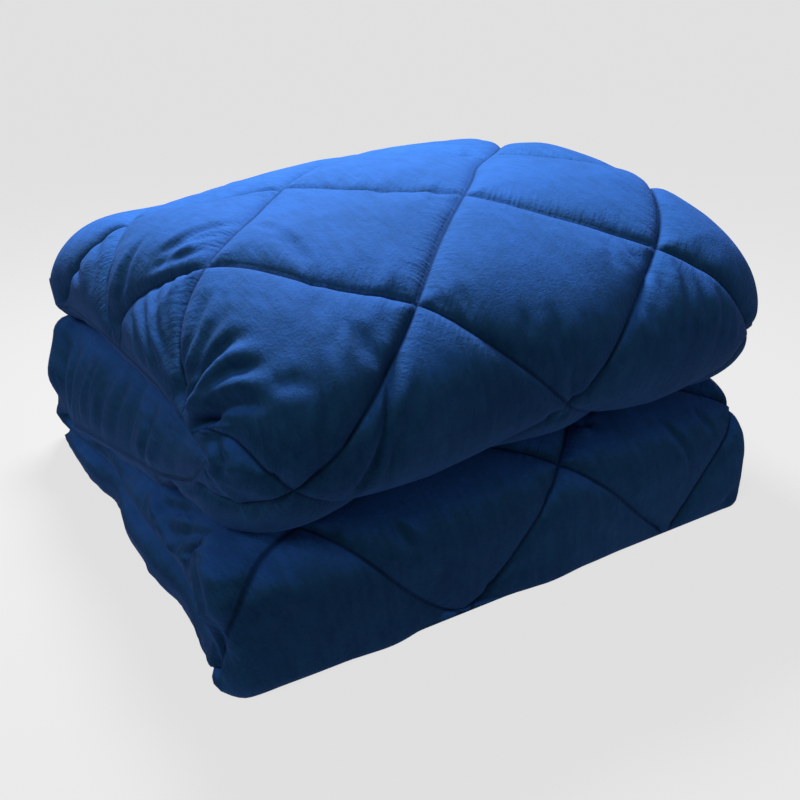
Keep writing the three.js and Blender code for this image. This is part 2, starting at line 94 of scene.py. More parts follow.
# Quilting: half the diagonal of a diamond, and where a crossing falls on each tier
DIAMOND_HALF = 127.5
CROSSING_X, CROSSING_Y = 172.5, 23.0
LOWER_CROSSING_Y = 13.0
LOWER_SHIFT, LOWER_SLANT, LOWER_SLANT_LENGTH = 28.0, 0.13, 150.0

# Where on a layer the table of ends has its front and its back
FOLD_Y, BACK_Y = 150.0, 400.0


def mix(a, b, t):
    return a + (b - a) * t


def ease(t):
    t = np.clip(t, 0, 1)
    return t * t * (3 - 2 * t)


def quarter(start, stop, power, leaves_upright, steps):
    """Quarter of a superellipse, leaving its first point level or upright."""
    a = np.linspace(0, np.pi / 2, steps + 1)
    rise = np.sin(a) ** (2 / power)
    rest = 1 - np.clip(np.cos(a), 0, 1) ** (2 / power)
    along, up = (rest, rise) if leaves_upright else (rise, rest)
    return np.stack([mix(start[0], stop[0], along), mix(start[1], stop[1], up)], 1)


def run(height, y0, y1, steps):
    y = np.linspace(y0, y1, steps + 1)
    return np.stack([y, height(y) + 0 * y], 1)


def slit_end(y, z, way):
    return np.array([[y, z + SLIT_HALF_GAP], [y + way * SLIT_END_LENGTH, z], [y, z - SLIT_HALF_GAP]])


def chain(parts):
    """Joins curves end to end and marks the named places: first, middle, last, or where y is reached."""
    points, marks = np.zeros((0, 2)), []
    for curve, mark in parts:
        start = max(0, len(points) - 1)
        points = np.concatenate([points, curve[1:] if len(points) else curve])
        if mark == "first":
            marks.append(start)
        elif mark == "middle":
            marks.append(start + (len(curve) - 1) // 2)
        elif mark == "fold":
            marks.append(start + int(np.argmin(abs(points[start:, 0] - FOLD_Y))))
            marks.append(len(points) - 1)
        elif mark == "last":
            marks.append(len(points) - 1)
    lengths = np.r_[0, np.cumsum(np.linalg.norm(np.diff(points, axis=0), axis=1))]
    return {"points": points, "marks": lengths[marks], "lengths": lengths}


def section(x):
    """Both faces of the band in the upright plane at x."""
    left = np.clip((SAG_WIDTH - x) / SAG_WIDTH, 0, 1) ** SAG_POWER
    front_corner = np.clip((CORNER_SAG_WIDTH - x) / CORNER_SAG_WIDTH, 0, 1)
    deep = lambda y: np.clip(y / PACK_DEPTH, 0, 1)
    upper = lambda y: mix(*UPPER_SLIT, y / PACK_DEPTH)
    middle = lambda y: mix(*MIDDLE_SLIT, y / PACK_DEPTH) - (SLIT_SAG_FRONT + SLIT_SAG_BACK * deep(y)) * left
    lower = lambda y: (mix(*LOWER_SLIT, y / PACK_DEPTH) - LOWER_SAG_SHARE * SLIT_SAG_BACK * left * deep(y)
                       - CORNER_SAG * front_corner * np.clip(1 - y / CORNER_SAG_LENGTH, 0, 1))
    droop = lambda y: np.clip((y - CROWN_Y) / (PACK_DEPTH - CROWN_Y), 0, 1) ** 2
    top = lambda y: CROWN_HEIGHT - (CROWN_HEIGHT - BACK_TOP_HEIGHT) * droop(y)
    gap = SLIT_HALF_GAP
    back_y = PACK_DEPTH - TOP_EDGE_INSET
    top_edge = (back_y, (top(back_y) + upper(back_y)) / 2)
    bottom_y = PACK_DEPTH - BOTTOM_EDGE_INSET
    bottom_edge = (bottom_y, lower(bottom_y) / 2)
    tuck_y = UPPER_FOLD["tuck"]
    inner_back = PACK_DEPTH - BACK_FOLD["tuck"]
    bulge_y = PACK_DEPTH - BACK_FOLD["bulge"]
    bulge_z = middle(PACK_DEPTH - BACK_FOLD["height_taken"])
    top_from, inner_from = back_y - TOP_ROUNDING, back_y - INNER_ROUNDING
    bottom_from = bottom_y - BOTTOM_ROUNDING
    upper_front = (UPPER_FOLD["y"], UPPER_FOLD["z"])
    lower_front = (LOWER_FOLD["y"], LOWER_FOLD["z"])
    over = lambda y: middle(y) + gap
    under = lambda y: middle(y) - gap
    outer = chain([
        (quarter(top_edge, (top_from, top(top_from)), EDGE_POWER, True, 60), "first"),
        (run(top, top_from, CROWN_Y, 90), None),
        (quarter((CROWN_Y, top(CROWN_Y)), upper_front, UPPER_FOLD["top_power"], False, 240), "fold"),
        (quarter(upper_front, (tuck_y, over(tuck_y)), UPPER_FOLD["under_power"], True, 120), None),
        (run(over, tuck_y, FOLD_Y, 8), "last"),
        (run(over, FOLD_Y, BACK_Y, 24), "last"),
        (run(over, BACK_Y, inner_back, 8), None),
        (slit_end(inner_back, middle(inner_back), 1), "middle"),
        (run(under, inner_back, BACK_Y, 8), "last"),
        (run(under, BACK_Y, FOLD_Y, 24), "last"),
        (run(under, FOLD_Y, tuck_y, 8), None),
        (quarter((tuck_y, under(tuck_y)), lower_front, LOWER_FOLD["top_power"], False, 120), "last"),
        (quarter(lower_front, (LOWER_FOLD["foot"], 0), LOWER_FOLD["under_power"], True, 90), None),
        (run(lambda y: 0 * y, LOWER_FOLD["foot"], FOLD_Y, 8), "last"),
        (run(lambda y: 0 * y, FOLD_Y, bottom_from, 20), None),
        (quarter((bottom_from, 0), bottom_edge, EDGE_POWER, False, 30), "last"),
    ])
    above = lambda y: upper(y) + gap
    below = lambda y: upper(y) - gap
    low_over = lambda y: lower(y) + gap
    low_under = lambda y: lower(y) - gap
    slit_1, slit_3 = UPPER_FOLD["slit_end"], LOWER_FOLD["slit_end"]
    inner = chain([
        (quarter(top_edge, (inner_from, above(inner_from)), EDGE_POWER, True, 60), "first"),
        (run(above, inner_from, FOLD_Y, 20), "last"),
        (run(above, FOLD_Y, slit_1, 8), None),
        (slit_end(slit_1, upper(slit_1), -1), "middle"),
        (run(below, slit_1, FOLD_Y, 8), "last"),
        (run(below, FOLD_Y, BACK_Y, 24), "last"),
        (run(below, BACK_Y, bulge_y, 8), None),
        (quarter((bulge_y, below(bulge_y)), (PACK_DEPTH, bulge_z), EDGE_POWER, False, 90), "last"),
        (quarter((PACK_DEPTH, bulge_z), (bulge_y, low_over(bulge_y)), EDGE_POWER, True, 90), None),
        (run(low_over, bulge_y, BACK_Y, 8), "last"),
        (run(low_over, BACK_Y, FOLD_Y, 24), "last"),
        (run(low_over, FOLD_Y, slit_3, 8), None),
        (slit_end(slit_3, lower(slit_3), -1), "middle"),
        (run(low_under, slit_3, FOLD_Y, 8), "last"),
        (run(low_under, FOLD_Y, bottom_from, 20), None),
        (quarter((bottom_from, low_under(bottom_from)), bottom_edge, EDGE_POWER, False, 30), "last"),
    ])
    return {"outer": outer, "inner": inner}


STATIONS = np.linspace(FRONT_LEFT, FRONT_RIGHT, 41)
station_sections = [section(x) for x in STATIONS]
middle_section = section(CROWN_X)


def points_at(curve, places):
    """Points a share of the way from one mark to the next, measured along the curve."""
    lengths = np.interp(places, np.arange(len(curve["marks"])), curve["marks"])
    return np.stack([np.interp(lengths, curve["lengths"], curve["points"][:, k]) for k in (0, 1)], 1)


def sag(x, y, z):
    """The pack is lower toward its left end, most at the back left, and its corners turn."""
    left = np.clip((CROWN_X - x) / (CROWN_X - FRONT_LEFT), 0, 1) ** SAG_POWER
    back = np.clip((y - BACK_LEFT["from_y"]) / BACK_LEFT["over_y"], 0, 1)
    back = back * ease((CROWN_X - x) / BACK_LEFT["over_x"])
    to_end = np.minimum(x - FRONT_LEFT, FRONT_RIGHT - x)
    near = lambda corner: np.clip(1 - to_end / corner["width"], 0, 1)
    turned = lambda corner: corner["turn"] * (1 - np.sqrt(1 - near(corner) ** 2))
    moved = y - turned(BACK_CORNER) * ease((y - BACK_CORNER["from_y"]) / BACK_CORNER["over_y"])
    moved = moved + turned(FRONT_CORNER) * ease((FRONT_CORNER["over_y"] - y) / FRONT_CORNER["over_y"])
    return x, moved, z * (1 - (LEFT_SAG * left + BACK_LEFT_SAG * back) / CROWN_HEIGHT)


def round_end(wide, power, away):
    """0 at an end of the band, rising to 1 where its face is no longer rounded."""
    return np.clip(1 - np.clip(1 - away / wide, 0, 1) ** power, 0, 1) ** (1 / power)


# Shares of the points across the band that crowd toward its ends and that lie evenly
CROWDED, EVEN = 0.7, 0.3


def across_band(face, places, samples=200):
    """Lines across the band, one for each place along it: rows of points from left to right."""
    rows = {name: np.interp(places, np.arange(len(ENDS)), [end[k] for end in ENDS.values()])[:, None]
            for k, name in enumerate(END_COLUMNS)}
    x0, x1 = FRONT_LEFT + rows["in_l"], FRONT_RIGHT - rows["in_r"]
    t = np.linspace(0, 1, samples + 1)[None]
    x = mix(x0, x1, (0.5 - 0.5 * np.cos(np.pi * t)) * CROWDED + t * EVEN)
    shift = np.clip((x - FRONT_LEFT) / (FRONT_RIGHT - FRONT_LEFT), 0, 1) * (len(STATIONS) - 1)
    k = np.minimum(shift.astype(int), len(STATIONS) - 2)
    part, line = shift - k, np.arange(len(places))[:, None]
    own, other = [], []
    for name, out in ((face, own), ("inner" if face == "outer" else "outer", other)):
        table = np.stack([points_at(s[name], places) for s in station_sections])
        for axis in (0, 1):
            out.append(mix(table[k, line, axis], table[k + 1, line, axis], part))
    lip = rows["lip"] if face == "inner" else 1 - rows["lip"]
    edge = [mix(own[axis], other[axis], lip) for axis in (0, 1)]
    if face == "outer":
        roll = (round_end(rows["outer_l"], rows["power_l"], x - x0)
                * round_end(rows["outer_r"], rows["power_r"], x1 - x))
    else:
        roll = round_end(rows["inner_l"], 2, x - x0) * round_end(rows["inner_r"], 2, x1 - x)
    return np.stack(sag(x, mix(edge[0], own[0], roll), mix(edge[1], own[1], roll)), 2)


# Half the width of cloth whose columns are evenly spaced, and the cloth it needs beside the crown
EVEN_HALF, EVEN_ROOM = 300.0, 325.0


def spread_columns(line, step, slide, end_count):
    """Columns a fixed length of cloth apart in the middle, shared out evenly in the rolled ends."""
    along = np.r_[0, np.cumsum(np.linalg.norm(np.diff(line, axis=0), axis=1))]
    total, crown = along[-1], np.interp(CROWN_X, line[:, 0], along)
    half = int(EVEN_HALF / step)
    squeeze = min(1, crown / EVEN_ROOM, (total - crown) / EVEN_ROOM)
    middle = crown + np.arange(-half, half + 1) * step * squeeze + slide
    wanted = np.r_[np.linspace(0, middle[0], end_count + 1)[:-1], middle,
                   np.linspace(middle[-1], total, end_count + 1)[1:]]
    at = np.stack([np.interp(wanted, along, line[:, k]) for k in range(3)], 1)
    return at, wanted - crown + CROWN_X


def length_at_y(curve, y, first, last):
    k = (curve["lengths"] >= curve["marks"][first]) & (curve["lengths"] <= curve["marks"][last])
    ys, lengths = curve["points"][k, 0], curve["lengths"][k]
    order = np.argsort(ys)
    return float(np.interp(y, ys[order], lengths[order]))


upper_origin = length_at_y(middle_section["outer"], CROSSING_Y, 1, 2)
lower_origin = length_at_y(middle_section["outer"], LOWER_CROSSING_Y, 7, 8)
back_bulge = float(middle_section["inner"]["marks"][5])

# Spacing of the points on each face, and the least part of it that may lie between two rows
OUTER_STEP, INNER_STEP = DIAMOND_HALF / 30, DIAMOND_HALF / 12
LEAST_SPACING = 0.2

# Places along the band, counted in lines of the table of ends: where the outer face goes in under the
# upper layers and comes out again, and where the inner face shows at the left end
INSIDE_FROM, LOWER_FROM = 3, 6.6
END_FROM, END_TO = 2, 8

# Zones of rows: from place, to place, every so many steps, and where the quilting is counted from
OUTER_ROWS = [(0, INSIDE_FROM, 1, upper_origin), (INSIDE_FROM, 5, 4, upper_origin),
              (5, LOWER_FROM, 4, lower_origin), (LOWER_FROM, 9, 1, lower_origin), (9, 10, 3, lower_origin)]
INNER_ROWS = [(0, 2.4, 1.5, back_bulge), (2.4, 6, 0.5, back_bulge), (6, 10, 1, back_bulge)]


def cloth_rows(curve, step, zones, tips):
    """Lengths of cloth at which the rows lie, on whole steps of the quilting."""
    rows = [0.0] + [float(curve["marks"][tip]) for tip in tips] + [float(curve["lengths"][-1])]
    for first, last, every, origin in zones:
        start, stop = np.interp([first, last], np.arange(11), curve["marks"])
        stride = step * every
        for at in np.arange(origin + np.ceil((start - origin) / stride) * stride, stop, stride):
            if min(abs(at - other) for other in rows) > step * LEAST_SPACING:
                rows.append(float(at))
    return np.array(sorted(rows))


def unevenness(u, v, size, seed):
    """Smooth random height between about -1 and 1, the same for the same seed."""
    cells_each_way = 64
    table = np.random.RandomState(seed).uniform(-1, 1, (cells_each_way, cells_each_way))
    a, b = u / size[0] + 17.3 * seed, v / size[1] + 9.1 * seed
    i, j = np.floor(a).astype(int), np.floor(b).astype(int)
    p, q = ease(a - i), ease(b - j)
    pick = lambda di, dj: table[(i + di) % cells_each_way, (j + dj) % cells_each_way]
    return mix(mix(pick(0, 0), pick(1, 0), p), mix(pick(0, 1), pick(1, 1), p), q)


def waves(u, v, table):
    """Sum of uneven heights, each with its height, its size across and along, and its seed."""
    return sum(high * unevenness(u, v, size, seed) for high, size, seed in table)


def lay_out(face, rows, step, end_count):
    """The bare face: its points, the cloth length across it and the length along it."""
    curve = middle_section[face]
    places = np.interp(rows, curve["marks"], np.arange(11))
    lines = across_band(face, places)
    at, across, along = [], [], []
    for line, length in zip(lines, rows):
        if face == "outer" and length > curve["marks"][5]:
            below = length - lower_origin
            slide = LOWER_SHIFT + LOWER_SLANT * np.clip(below, 0, LOWER_SLANT_LENGTH)
            counted = below + DIAMOND_HALF
        else:
            slide = 0.0
            counted = length - (upper_origin if face == "outer" else back_bulge)
        points, cloth = spread_columns(line, step, slide, end_count)
        at.append(points)
        across.append(cloth - slide)
        along.append(np.full(len(cloth), counted))
    return {"at": np.array(at), "across": np.array(across), "along": np.array(along), "place": places}


def normals(at, outward):
    down, side = np.gradient(at, axis=0), np.gradient(at, axis=1)
    n = np.cross(side, down) * outward
    return n / np.maximum(np.linalg.norm(n, axis=2, keepdims=True), 1e-9)


# Creases and soft ridges, one by one: tier, depth (below 0 is a ridge), width, then across and along.
# A crease has a low lip on each side, and the gain makes up for the depth that the lips take.
CREASE_GAIN, LIP_SHARE, LIP_WIDTH = 1.9, 0.4, 2.2
CREASES = [
    ("upper", 3.2, 7, (92, -184), (66, -183), (40, -187), (18, -195)),
    ("upper", 2.4, 6, (76, -165), (56, -170), (39, -179), (16, -185)),
    ("upper", 2.2, 6, (63, -150), (46, -151), (28, -170), (6, -192)),
    ("upper", 2.6, 8, (22, -246), (-3, -237), (-23, -227), (-40, -226)),
    ("upper", 2.0, 8, (24, -411), (-5, -368), (-33, -345)),
    ("upper", 2.0, 7, (12, -458), (-11, -449), (-32, -387)),
    ("upper", 1.8, 6, (0, -290), (-21, -286), (-43, -265)),
    ("upper", 3.0, 7, (-15, -183), (-19, -151), (-29, -116), (-37, -87)),
    ("upper", 3.2, 7, (3, -171), (-2, -134), (-15, -101), (-30, -71)),
    ("upper", 2.6, 6, (20, -159), (10, -124), (-3, -99), (-20, -76)),
    ("upper", 2.4, 6, (-37, -196), (-43, -158), (-45, -127)),
    ("upper", 1.8, 5, (36, -145), (23, -123), (13, -109)),
    ("upper", 3.0, 6, (35, -81), (9, -60), (-21, -51), (-41, -48)),
    ("upper", 4.2, 8, (34, -53), (8, -43), (-15, -32), (-45, -41)),
    ("upper", 5.0, 9, (31, -26), (10, -24), (-15, -18), (-39, -14)),
    ("upper", -4.5, 10, (36, -6), (21, -12), (0, -8), (-20, -4), (-36, 0)),
    ("upper", 4.0, 8, (27, 9), (12, 3), (-7, 6), (-26, 10)),
    ("upper", -4.5, 11, (26, 25), (11, 17), (-10, 15), (-30, 16), (-44, 8)),
    ("upper", 4.0, 8, (25, 43), (5, 36), (-14, 32), (-32, 36)),
    ("upper", 9.0, 7, (-16, 34), (-28, 33), (-40, 29), (-54, 20)),
    ("upper", 8.0, 9, (-32, 30), (-44, 28), (-52, 30)),
    ("upper", -5.0, 9, (-10, 52), (-24, 52), (-40, 48), (-52, 40)),
    ("upper", -5.0, 9, (28, -2), (4, 2), (-20, 6), (-46, 2)),
    ("upper", 3.0, 6, (-29, 44), (-13, 47), (-6, 51)),
    ("upper", -3.0, 8, (-33, 29), (-21, 35), (-11, 43)),
    ("upper", 3.0, 6, (-33, 67), (-25, 96), (-23, 120)),
    ("upper", 2.5, 6, (-53, 57), (-42, 142), (-24, 147)),
    ("upper", 2.8, 7, (77, 30), (73, 56), (67, 78), (62, 99), (58, 126)),
    ("upper", 2.6, 5, (30, 77), (28, 93), (26, 112)),
    ("upper", 2.0, 6, (43, 60), (43, 76), (38, 90)),
    ("upper", 1.8, 8, (35, 33), (53, 35), (65, 42)),
    ("upper", 2.4, 6, (109, -8), (108, 16), (110, 35)),
    ("upper", 2.4, 6, (115, 8), (117, 27), (122, 44)),
    ("upper", 1.8, 6, (109, -28), (100, -2), (89, 19)),
    ("upper", 2.4, 8, (107, -69), (94, -31), (88, 3), (78, 30)),
    ("upper", 1.8, 6, (51, -106), (44, -69), (31, -49)),
    ("upper", 1.8, 6, (61, -93), (54, -60), (40, -35)),
    ("upper", 1.6, 6, (71, -77), (63, -49), (51, -26)),
    ("upper", 2.4, 7, (103, -163), (110, -132), (114, -110), (111, -88), (110, -71)),
    ("upper", 2.0, 7, (95, -133), (105, -117), (109, -94)),
    ("upper", 6.5, 6, (132, 41), (122, 68), (116, 86), (105, 117), (91, 146)),
    ("upper", 3.0, 8, (131, 84), (123, 105), (115, 134)),
    ("upper", 2.0, 6, (142, 63), (139, 87), (131, 109)),
    ("upper", 1.8, 6, (193, -9), (193, 6), (199, 19)),
    ("upper", 1.6, 7, (214, 0), (214, 19), (212, 34)),
    ("upper", 3.2, 7, (289, 43), (286, 64), (287, 77), (291, 97), (304, 127)),
    ("upper", 2.6, 7, (315, 60), (310, 73), (303, 88), (300, 109)),
    ("upper", 3.2, 5, (297, 68), (298, 79), (296, 94), (305, 127)),
    ("upper", 2.2, 7, (265, 71), (271, 89), (287, 113)),
    ("upper", 1.8, 6, (263, 40), (261, 58)),
    ("upper", 2.6, 6, (413, 27), (405, 47), (408, 67), (405, 85), (409, 98)),
    ("upper", 2.6, 6, (434, 30), (427, 56), (426, 77), (427, 93)),
    ("upper", 2.2, 6, (447, 52), (444, 72), (444, 89)),
    ("upper", 2.4, 8, (473, 73), (473, 97), (464, 119)),
    ("upper", -2.4, 8, (455, 62), (461, 77), (458, 95)),
    ("upper", 2.0, 6, (385, 59), (385, 76), (386, 87)),
    ("upper", 2.2, 5, (399, -9), (397, 14), (398, 33)),
    ("upper", 1.8, 5, (378, -13), (371, 8), (371, 21)),
    ("upper", 1.8, 6, (367, 77), (368, 92), (368, 102)),
    ("upper", 1.8, 7, (488, 87), (487, 106), (482, 119)),
    ("upper", 2.4, 6, (297, 156), (301, 134)),
    ("upper", 2.4, 6, (275, 128), (295, 145), (301, 136)),
    ("upper", 3.0, 7, (129, 79), (125, 94), (122, 113), (120, 135)),
    ("lower", 4.0, 7, (355, 90), (360, 102)),
    ("lower", -3.0, 10, (341, 101), (351, 110)),
    ("lower", 2.4, 6, (269, 132), (269, 144), (276, 155)),
    ("lower", 3.8, 6, (439, 119), (447, 137), (455, 155), (461, 177)),
    ("lower", 3.4, 6, (494, 116), (497, 131), (498, 145)),
    ("lower", 2.6, 6, (270, 162), (274, 181), (278, 210), (277, 232)),
    ("lower", 2.6, 5, (236, 203), (233, 220), (229, 233)),
    ("lower", 2.2, 5, (231, 202), (220, 210), (207, 219)),
    ("lower", 2.2, 5, (200, 216), (203, 238)),
    ("lower", 3.2, 8, (110, 132), (116, 145), (123, 157)),
    ("lower", -2.4, 8, (117, 128), (123, 141), (129, 153)),
    ("lower", 3.0, 7, (531, 222), (513, 242), (491, 242)),
    ("lower", 1.8, 6, (328, 158), (336, 175), (342, 195)),
    ("lower", 2.8, 6, (-28, -33), (-16, 18)),
    ("lower", 3.2, 7, (-50, 67), (-8, 150), (15, 160)),
    ("lower", 2.4, 6, (-44, 132), (-17, 158), (6, 166)),
    ("lower", 2.6, 7, (-44, 174), (-22, 175), (-9, 177)),
    ("lower", 2.0, 6, (-34, 185), (-26, 184)),
    ("lower", 4.0, 6, (-38, 201), (-49, 220), (-35, 221)),
    ("lower", 3.0, 7, (-56, 214), (-74, 250), (-44, 243)),
    ("lower", 3.0, 7, (-37, -66), (-28, -36), (-16, -10)),
    ("lower", 2.8, 7, (-50, -30), (-34, 30), (-16, 90)),
    ("lower", 2.8, 7, (-64, 22), (-42, 90), (-18, 150)),
    ("lower", -4.0, 8, (-34, -90), (-52, -44), (-63, 10), (-60, 70)),
    ("end", 2.6, 9, (6, -262), (-26, -270), (-62, -286)),
    ("end", 2.2, 8, (8, -300), (-24, -306), (-60, -322)),
    ("end", 2.8, 9, (6, -345), (-24, -356), (-56, -362)),
    ("end", 2.0, 8, (8, -384), (-20, -398), (-50, -404)),
    ("end", 2.6, 9, (8, -424), (-16, -440), (-44, -446)),
    ("end", 2.2, 9, (0, -190), (-30, -206), (-64, -214)),
    ("end", 2.4, 9, (-4, -150), (-38, -158), (-70, -180)),
]

# Places where the cloth is pulled sideways: tier, across, along, move across, move along
PULL_REACH = 75.0
PULLS = [
    ("upper", 45, -146, 12, -2),
    ("upper", 178, -255, 8, -16),
    ("upper", 300, -127, 12, -9),
    ("upper", 430, 0, 11, 2),
    ("upper", 300, 127, 3, 13),
    ("upper", 45, 127, -7, 12),
    ("upper", -30, 30, 4, -6),
    ("upper", -30, -220, 10, -24),
    ("upper", 0, -110, -19, -27),
    ("upper", 100, -60, -1, 13),
    ("upper", 240, 60, -9, 0),
    ("upper", 110, 80, -2, 6),
    ("upper", 175, 0, 3, 0),
    ("upper", 240, -190, -4, 3),
    ("upper", 490, 55, 5, -4),
    ("upper", 480, -60, 4, 3),
    ("upper", 400, -230, -1, -2),
    ("upper", 20, -330, 11, 10),
    ("upper", -20, -300, -4, -7),
    ("upper", 360, 160, 0, 6),
    ("upper", 200, -100, -5, 7),
    ("lower", 325, 130, 5, -3),
    ("lower", 66, 94, 7, -13),
    ("lower", 220, 230, 4, 9),
    ("lower", 130, 215, -9, -1),
    ("lower", -25, 165, -29, -31),
    ("lower", 10, 130, -5, -17),
    ("lower", 400, 230, 1, -1),
    ("lower", 270, 180, 3, 2),
    ("lower", 100, 150, 6, 6),
    ("lower", 60, 200, 11, 10),
]

# Soft moves that bring the outline to the photograph's: x, y, z, move in x, y, z, reach
MOVES = [
    (275, 490, 325, 0, 0, -17, 80),
    (440, 330, 360, 0, 0, -3, 150),
    (503, 113, 340, 0, 0, 5, 45),
    (533, -25, 242, -6, 4, 0, 50),
    (-20, 474, 122, -11, 0, 0, 30),
    (5, 490, 208, -2, 0, -10, 32),
    (4, 492, 172, -8, 0, 8, 28),
    (-22, 489, 88, 7, 0, 0, 35),
    (-16, 350, 12, 12, 0, 0, 50),
    (-18, 130, 12, 9, 0, 0, 50),
    (-12, 20, 18, -8, -2, 0, 25),
]

# The plain left ends, tier by tier: left of which length across they begin, and up to or from which
# length along. The stitching fades over some cloth, and the distance to it grows where it has faded.
PLAIN_LEFT_OF = {"lower": 12, "end": 50, "under": 50, "inside": 30}
LOWER_PLAIN_TO, LOWER_PLAIN_FROM = 80, 290
END_PLAIN_TO, UNDER_PLAIN_FROM = -90, 300
PLAIN_FADE, PLAIN_AWAY = 40.0, 60.0

# The stitching pulls a groove and a wider, shallow dip into the cloth, and the loft puffs up beside it
GROOVE_DEPTH, GROOVE_WIDTH = 7.0, 7.0
DIP_DEPTH, DIP_WIDTH = 2.5, 30.0
PUFF_HEIGHT, PUFF_REACH = 3.0, 60.0

# Puckers run off square from the stitching: height, size along a line and off it, how far from the
# line they start and how far they reach. They come in patches of a mean strength and a swing about it.
PUCKER_HEIGHT, PUCKER_SIZE, PUCKER_START, PUCKER_REACH = 3.2, (13, 55), 6.0, 26.0
PUCKER_PATCHES, PUCKER_MEAN, PUCKER_SWING = (90, 200), 0.45, 0.8

# Uneven loft all over, and the long gathers of the plain left ends: height, size and seed
LOFT = ((2.2, (110, 130), 31), (0.9, (38, 52), 32))
END_GATHERS = ((2.6, (120, 24), 41), (1.4, (60, 10), 42))


def plain_end(u, v, tier):
    """1 on the left ends of the lower three layers, where gathers hide the stitching, 0 elsewhere."""
    if tier == "upper":
        return np.zeros_like(u)
    left = ease((PLAIN_LEFT_OF[tier] - u) / PLAIN_FADE)
    past = lambda row: ease((v - row) / PLAIN_FADE)
    if tier == "lower":
        return left * (1 - past(LOWER_PLAIN_TO) + past(LOWER_PLAIN_FROM))
    if tier == "end":
        return left * ease((END_PLAIN_TO - v) / PLAIN_FADE)
    if tier == "under":
        return left * past(UNDER_PLAIN_FROM)
    return left


def off_line(u, v, lean):
    """How far off the nearest line of stitching that leans this way, as a share of the diagonal."""
    turn = (u - CROSSING_X + lean * v) / (2 * DIAMOND_HALF)
    return turn - np.round(turn)


def quilt_height(u, v, tier, free):
    """How far each point stands out of the bare face: stitched grooves, puckers, creases, loft."""
    height = np.zeros_like(u)
    nearest = np.full_like(u, 1e9)
    puckers = np.zeros_like(u)
    for lean, seed in ((1, 3), (-1, 4)):
        away = off_line(u, v, lean) * 2 * DIAMOND_HALF * np.sqrt(0.5)
        line_length = (u - lean * v) * np.sqrt(0.5)
        nearest = np.minimum(nearest, abs(away))
        gathers = unevenness(line_length, away, PUCKER_SIZE, seed + 10)
        patches = unevenness(line_length, away, PUCKER_PATCHES, seed + 20)
        gathers *= ease(PUCKER_MEAN + PUCKER_SWING * patches)
        near = np.exp(-abs(away) / PUCKER_REACH) * (1 - np.exp(-abs(away) / PUCKER_START))
        puckers += PUCKER_HEIGHT * gathers * near
    plain = plain_end(u, v, tier)
    stitched = GROOVE_DEPTH * np.exp(-nearest / GROOVE_WIDTH) + DIP_DEPTH * np.exp(-nearest / DIP_WIDTH)
    height -= (1 - plain) * stitched
    height += free * (1 - plain) * (PUFF_HEIGHT * ease(nearest / PUFF_REACH) + puckers)
    height += free * plain * waves(u, v, END_GATHERS)
    height += free * waves(u, v, LOFT)
    for name, depth, width, *line in CREASES:
        if name != tier:
            continue
        best = np.full_like(u, 1e9)
        share = np.zeros_like(u)
        line = np.array(line, float)
        steps = np.linalg.norm(np.diff(line, axis=0), axis=1)
        reach = np.r_[0, np.cumsum(steps)] / steps.sum()
        for k, (a, b) in enumerate(zip(line[:-1], line[1:])):
            t = ((u - a[0]) * (b - a)[0] + (v - a[1]) * (b - a)[1]) / steps[k] ** 2
            t = np.clip(t, 0, 1)
            away = np.hypot(u - mix(a[0], b[0], t), v - mix(a[1], b[1], t))
            share = np.where(away < best, mix(reach[k], reach[k + 1], t), share)
            best = np.minimum(best, away)
        taper = np.sqrt(np.clip(np.sin(np.pi * np.clip(share, 0.02, 0.98)), 0, 1))
        q = best / width
        profile = np.exp(-q * q) - LIP_SHARE * np.exp(-(q / LIP_WIDTH) ** 2)
        height -= CREASE_GAIN * depth * taper * profile
    return height


# The cloth is pressed flat where the layers lie on each other: that far in from the front, or under
# the upper fold, and from the ends
PRESSED = {"front": 60.0, "under_fold": 50.0, "ends": 12.0, "fade": 30.0}
FACING_DOWN = -0.2

# The stitched lines wander a little. The quilting fades out at the turned edge and on the floor.
WANDER, WANDER_SIZE, WANDER_SEEDS = 2.0, (90, 90), (51, 52)
EDGE_ROWS = 4
FLOOR_CONTACT, FLOOR_FADE = 0.5, 6.0


